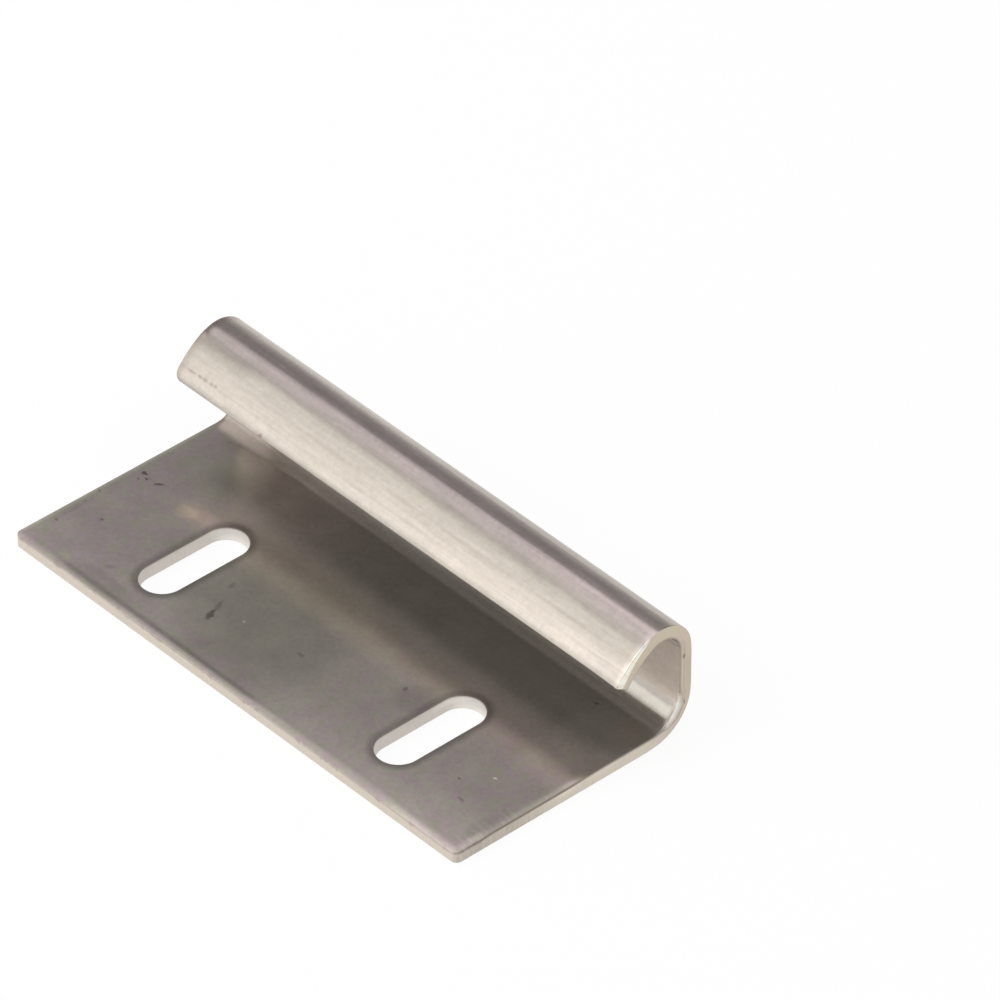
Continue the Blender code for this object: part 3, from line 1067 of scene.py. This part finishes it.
def floor_material():
    """Pale floor. Camera rays see it white with faint shadows, and gloss sees more of them."""
    material = bpy.data.materials.new("pale_floor")
    material.use_nodes = True
    nodes = Nodes(material.node_tree)
    path = nodes.make("ShaderNodeLightPath")
    camera = nodes.wire(path, 0)
    gloss = nodes.wire(path, 3).maths("MAXIMUM", nodes.wire(path, 6))
    white = camera * CAMERA_WHITE + gloss * GLOSS_WHITE
    paint = nodes.make("ShaderNodeBsdfDiffuse", Color=(0.93, 0.93, 0.93, 1.0))
    glow = nodes.make("ShaderNodeEmission", Color=(1.0, 1.0, 1.0, 1.0), Strength=FLOOR_GLOW)
    mix = nodes.make("ShaderNodeMixShader", in_0=white, in_1=paint.outputs[0], in_2=glow.outputs[0])
    nodes.make("ShaderNodeOutputMaterial", Surface=mix.outputs[0])
    return material


def make_floor(size):
    """A flat floor under the bracket: a grid of points on z = 0."""
    edge = np.linspace(-size / 2, size / 2, 3)
    x, y = np.meshgrid(edge, edge, indexing="ij")
    points = np.stack([x.ravel(), y.ravel(), np.zeros(x.size)], axis=1)
    index = np.arange(x.size).reshape(x.shape)
    quads = np.stack([index[:-1, :-1], index[1:, :-1], index[1:, 1:], index[:-1, 1:]], axis=-1)
    mesh = bpy.data.meshes.new("floor")
    mesh.from_pydata(points, [], quads.reshape(-1, 4))
    mesh.materials.append(floor_material())
    floor = bpy.data.objects.new("floor", mesh)
    bpy.context.scene.collection.objects.link(floor)


def make_world():
    """Studio round the bracket: white at the horizon and grey above."""
    world = bpy.data.worlds.new("studio")
    world.use_nodes = True
    nodes = Nodes(world.node_tree)
    direction = nodes.make("ShaderNodeTexCoord").outputs["Generated"]
    up = nodes.wire(nodes.make("ShaderNodeSeparateXYZ", Vector=direction), 2)
    ramp = nodes.make("ShaderNodeValToRGB", {"stops": STUDIO_LIGHT}, Fac=up.clamped())
    glow = nodes.make("ShaderNodeBackground", Color=ramp.outputs[0], Strength=1.0)
    nodes.make("ShaderNodeOutputWorld", Surface=glow.outputs[0])
    bpy.context.scene.world = world


def soft_box(name, direction, distance, width, height, radiance):
    """A rectangular soft box that faces the bracket, bright enough for a given radiance."""
    light = bpy.data.lights.new(name, "AREA")
    light.shape = "RECTANGLE"
    light.size = width
    light.size_y = height
    light.energy = radiance * math.pi * width * height
    lamp = bpy.data.objects.new(name, light)
    towards = Vector(direction).normalized()
    lamp.location = towards * distance
    lamp.rotation_euler = towards.to_track_quat("Z", "Y").to_euler()
    bpy.context.scene.collection.objects.link(lamp)


def make_camera(stage):
    """The camera at the photograph's viewing angle."""
    data = bpy.data.cameras.new("camera")
    data.sensor_width = SENSOR
    data.lens = stage.focal_pixels * SENSOR / FRAME_PIXELS
    data.clip_end = 100.0
    camera = bpy.data.objects.new("camera", data)
    flat = math.cos(stage.elevation)
    back = Vector(
        (
            math.sin(stage.azimuth) * flat,
            -math.cos(stage.azimuth) * flat,
            math.sin(stage.elevation),
        )
    )
    camera.location = CAMERA_AIM + back * stage.distance
    camera.rotation_euler = back.to_track_quat("Z", "Y").to_euler()
    bpy.context.scene.collection.objects.link(camera)
    bpy.context.scene.camera = camera


class HOOKBRACKET_OT_set_stage(bpy.types.Operator):
    """Set the pale floor, the soft studio light and the camera"""

    bl_idname = "hook_bracket.set_stage"
    bl_label = "Set Stage"

    def execute(self, context):
        stage = context.scene.bracket_stage
        context.scene.view_settings.view_transform = "Standard"
        make_floor(stage.floor_size)
        make_world()
        for box in SOFT_BOXES:
            soft_box(*box)
        make_camera(stage)
        return {"FINISHED"}


class HOOKBRACKET_PT_panel(bpy.types.Panel):
    """Hook bracket tools"""

    bl_label = "Hook Bracket"
    bl_idname = "HOOKBRACKET_PT_panel"
    bl_space_type = "VIEW_3D"
    bl_region_type = "UI"
    bl_category = "Hook Bracket"

    def draw(self, context):
        layout = self.layout
        scene = context.scene
        for group in (scene.bracket_sizes, scene.bracket_edges, scene.bracket_finish, scene.bracket_stage):
            box = layout.box()
            for name in group.__annotations__:
                box.prop(group, name)
        layout.operator(HOOKBRACKET_OT_fold_sheet.bl_idname)
        layout.operator(HOOKBRACKET_OT_set_stage.bl_idname)


GROUPS = {
    "bracket_sizes": SheetSizes,
    "bracket_edges": EdgeSizes,
    "bracket_finish": SteelFinish,
    "bracket_stage": StageSettings,
}
CLASSES = (
    *GROUPS.values(),
    HOOKBRACKET_OT_fold_sheet,
    HOOKBRACKET_OT_set_stage,
    HOOKBRACKET_PT_panel,
)


def register():
    """Add the properties, operators and panel."""
    for kind in CLASSES:
        bpy.utils.register_class(kind)
    for name, group in GROUPS.items():
        setattr(bpy.types.Scene, name, PointerProperty(type=group))


def unregister():
    """Remove the properties, operators and panel."""
    for name in GROUPS:
        delattr(bpy.types.Scene, name)
    for kind in reversed(CLASSES):
        bpy.utils.unregister_class(kind)


def main():
    """Build the looks and the stage."""
    register()
    bpy.ops.hook_bracket.fold_sheet()
    bpy.ops.hook_bracket.set_stage()


if __name__ == "__main__":
    main()
